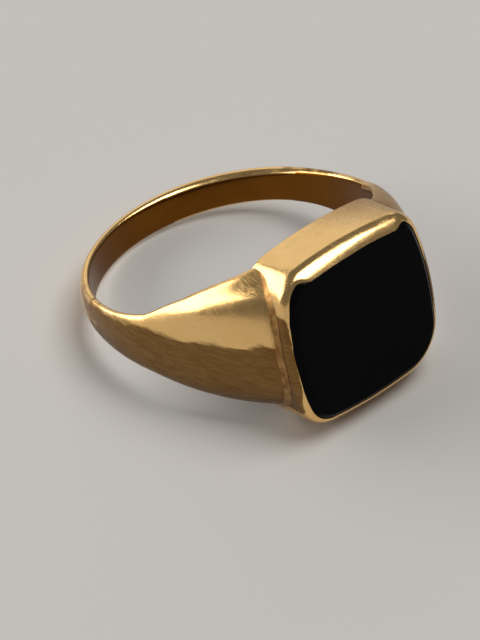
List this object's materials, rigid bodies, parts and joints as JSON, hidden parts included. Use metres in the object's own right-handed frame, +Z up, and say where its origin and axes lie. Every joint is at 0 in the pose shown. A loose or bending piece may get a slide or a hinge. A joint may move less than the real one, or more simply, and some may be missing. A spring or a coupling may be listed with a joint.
{
  "type": "signet ring",
  "caption": "Signet ring with a cushion-shaped flat black stone in a box setting, hollow shoulders and a narrow D-section shank, lying on its side.",
  "frame": {"origin": "middle of the bounding box, on the surface the ring lies on", "axes": "+Z up; -Y the way the stone faces, which is also 14 degrees upwards; +X to the right seen from the stone's side"},
  "size_m": [0.0196, 0.0226, 0.0115],
  "materials": {
    "gold": "polished yellow gold, worn, with fine scratches",
    "solder": "gold solder, a little paler and rougher than the gold",
    "onyx": "polished black onyx"
  },
  "bodies": {
    "root": {"stone": "onyx", "bezel": "gold", "stone_seat": "gold", "left_shoulder": "gold", "right_shoulder": "gold", "shank_long_arm": "gold", "shank_short_arm": "gold", "sizing_solder": "solder", "shoulder_solder": "solder"}
  },
  "joints": []
}
